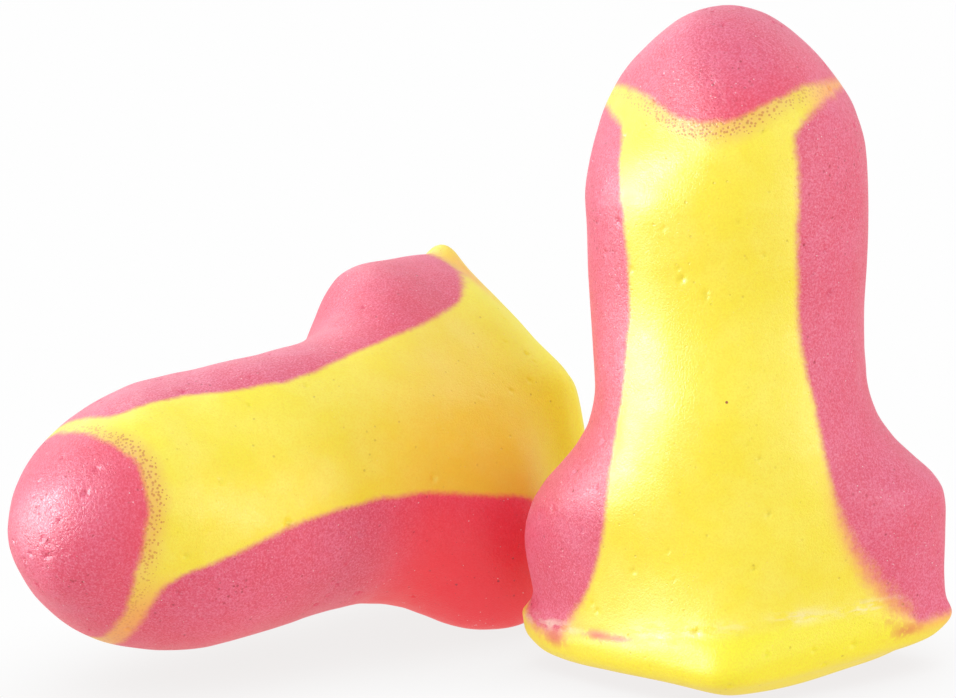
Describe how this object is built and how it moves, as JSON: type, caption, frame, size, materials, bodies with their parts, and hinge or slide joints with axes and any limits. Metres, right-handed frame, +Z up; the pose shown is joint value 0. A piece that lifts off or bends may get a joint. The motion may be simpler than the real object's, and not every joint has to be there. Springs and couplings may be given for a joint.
{
  "type": "foam ear plugs",
  "caption": "Soft two-colour foam ear plugs with a rounded nose, plain stem and flared diamond-shaped base, one standing on its base and one lying beside it.",
  "frame": {"origin": "centre of the standing plug's flat base face", "axes": "+Z up along the standing plug's axis towards its nose, +X and -X through its two side panels, -Y through its wider core panel"},
  "size_m": [0.0356, 0.0231, 0.0251],
  "materials": {
    "foam_yellow": "matte",
    "foam_pink": "matte"
  },
  "bodies": {
    "standing_plug": {"standing_core": "foam_yellow", "standing_nose_cap": "foam_pink", "standing_side_panel_right": "foam_pink", "standing_side_panel_left": "foam_pink"},
    "loose_plug": {"loose_core": "foam_yellow", "loose_nose_cap": "foam_pink", "loose_side_panel_right": "foam_pink", "loose_side_panel_left": "foam_pink"}
  },
  "joints": [
    {"name": "loose_plug_lift", "type": "slide", "parent": "standing_plug", "child": "loose_plug", "axis": [0, 0, 1], "range_m": [0, 0.03]}
  ]
}
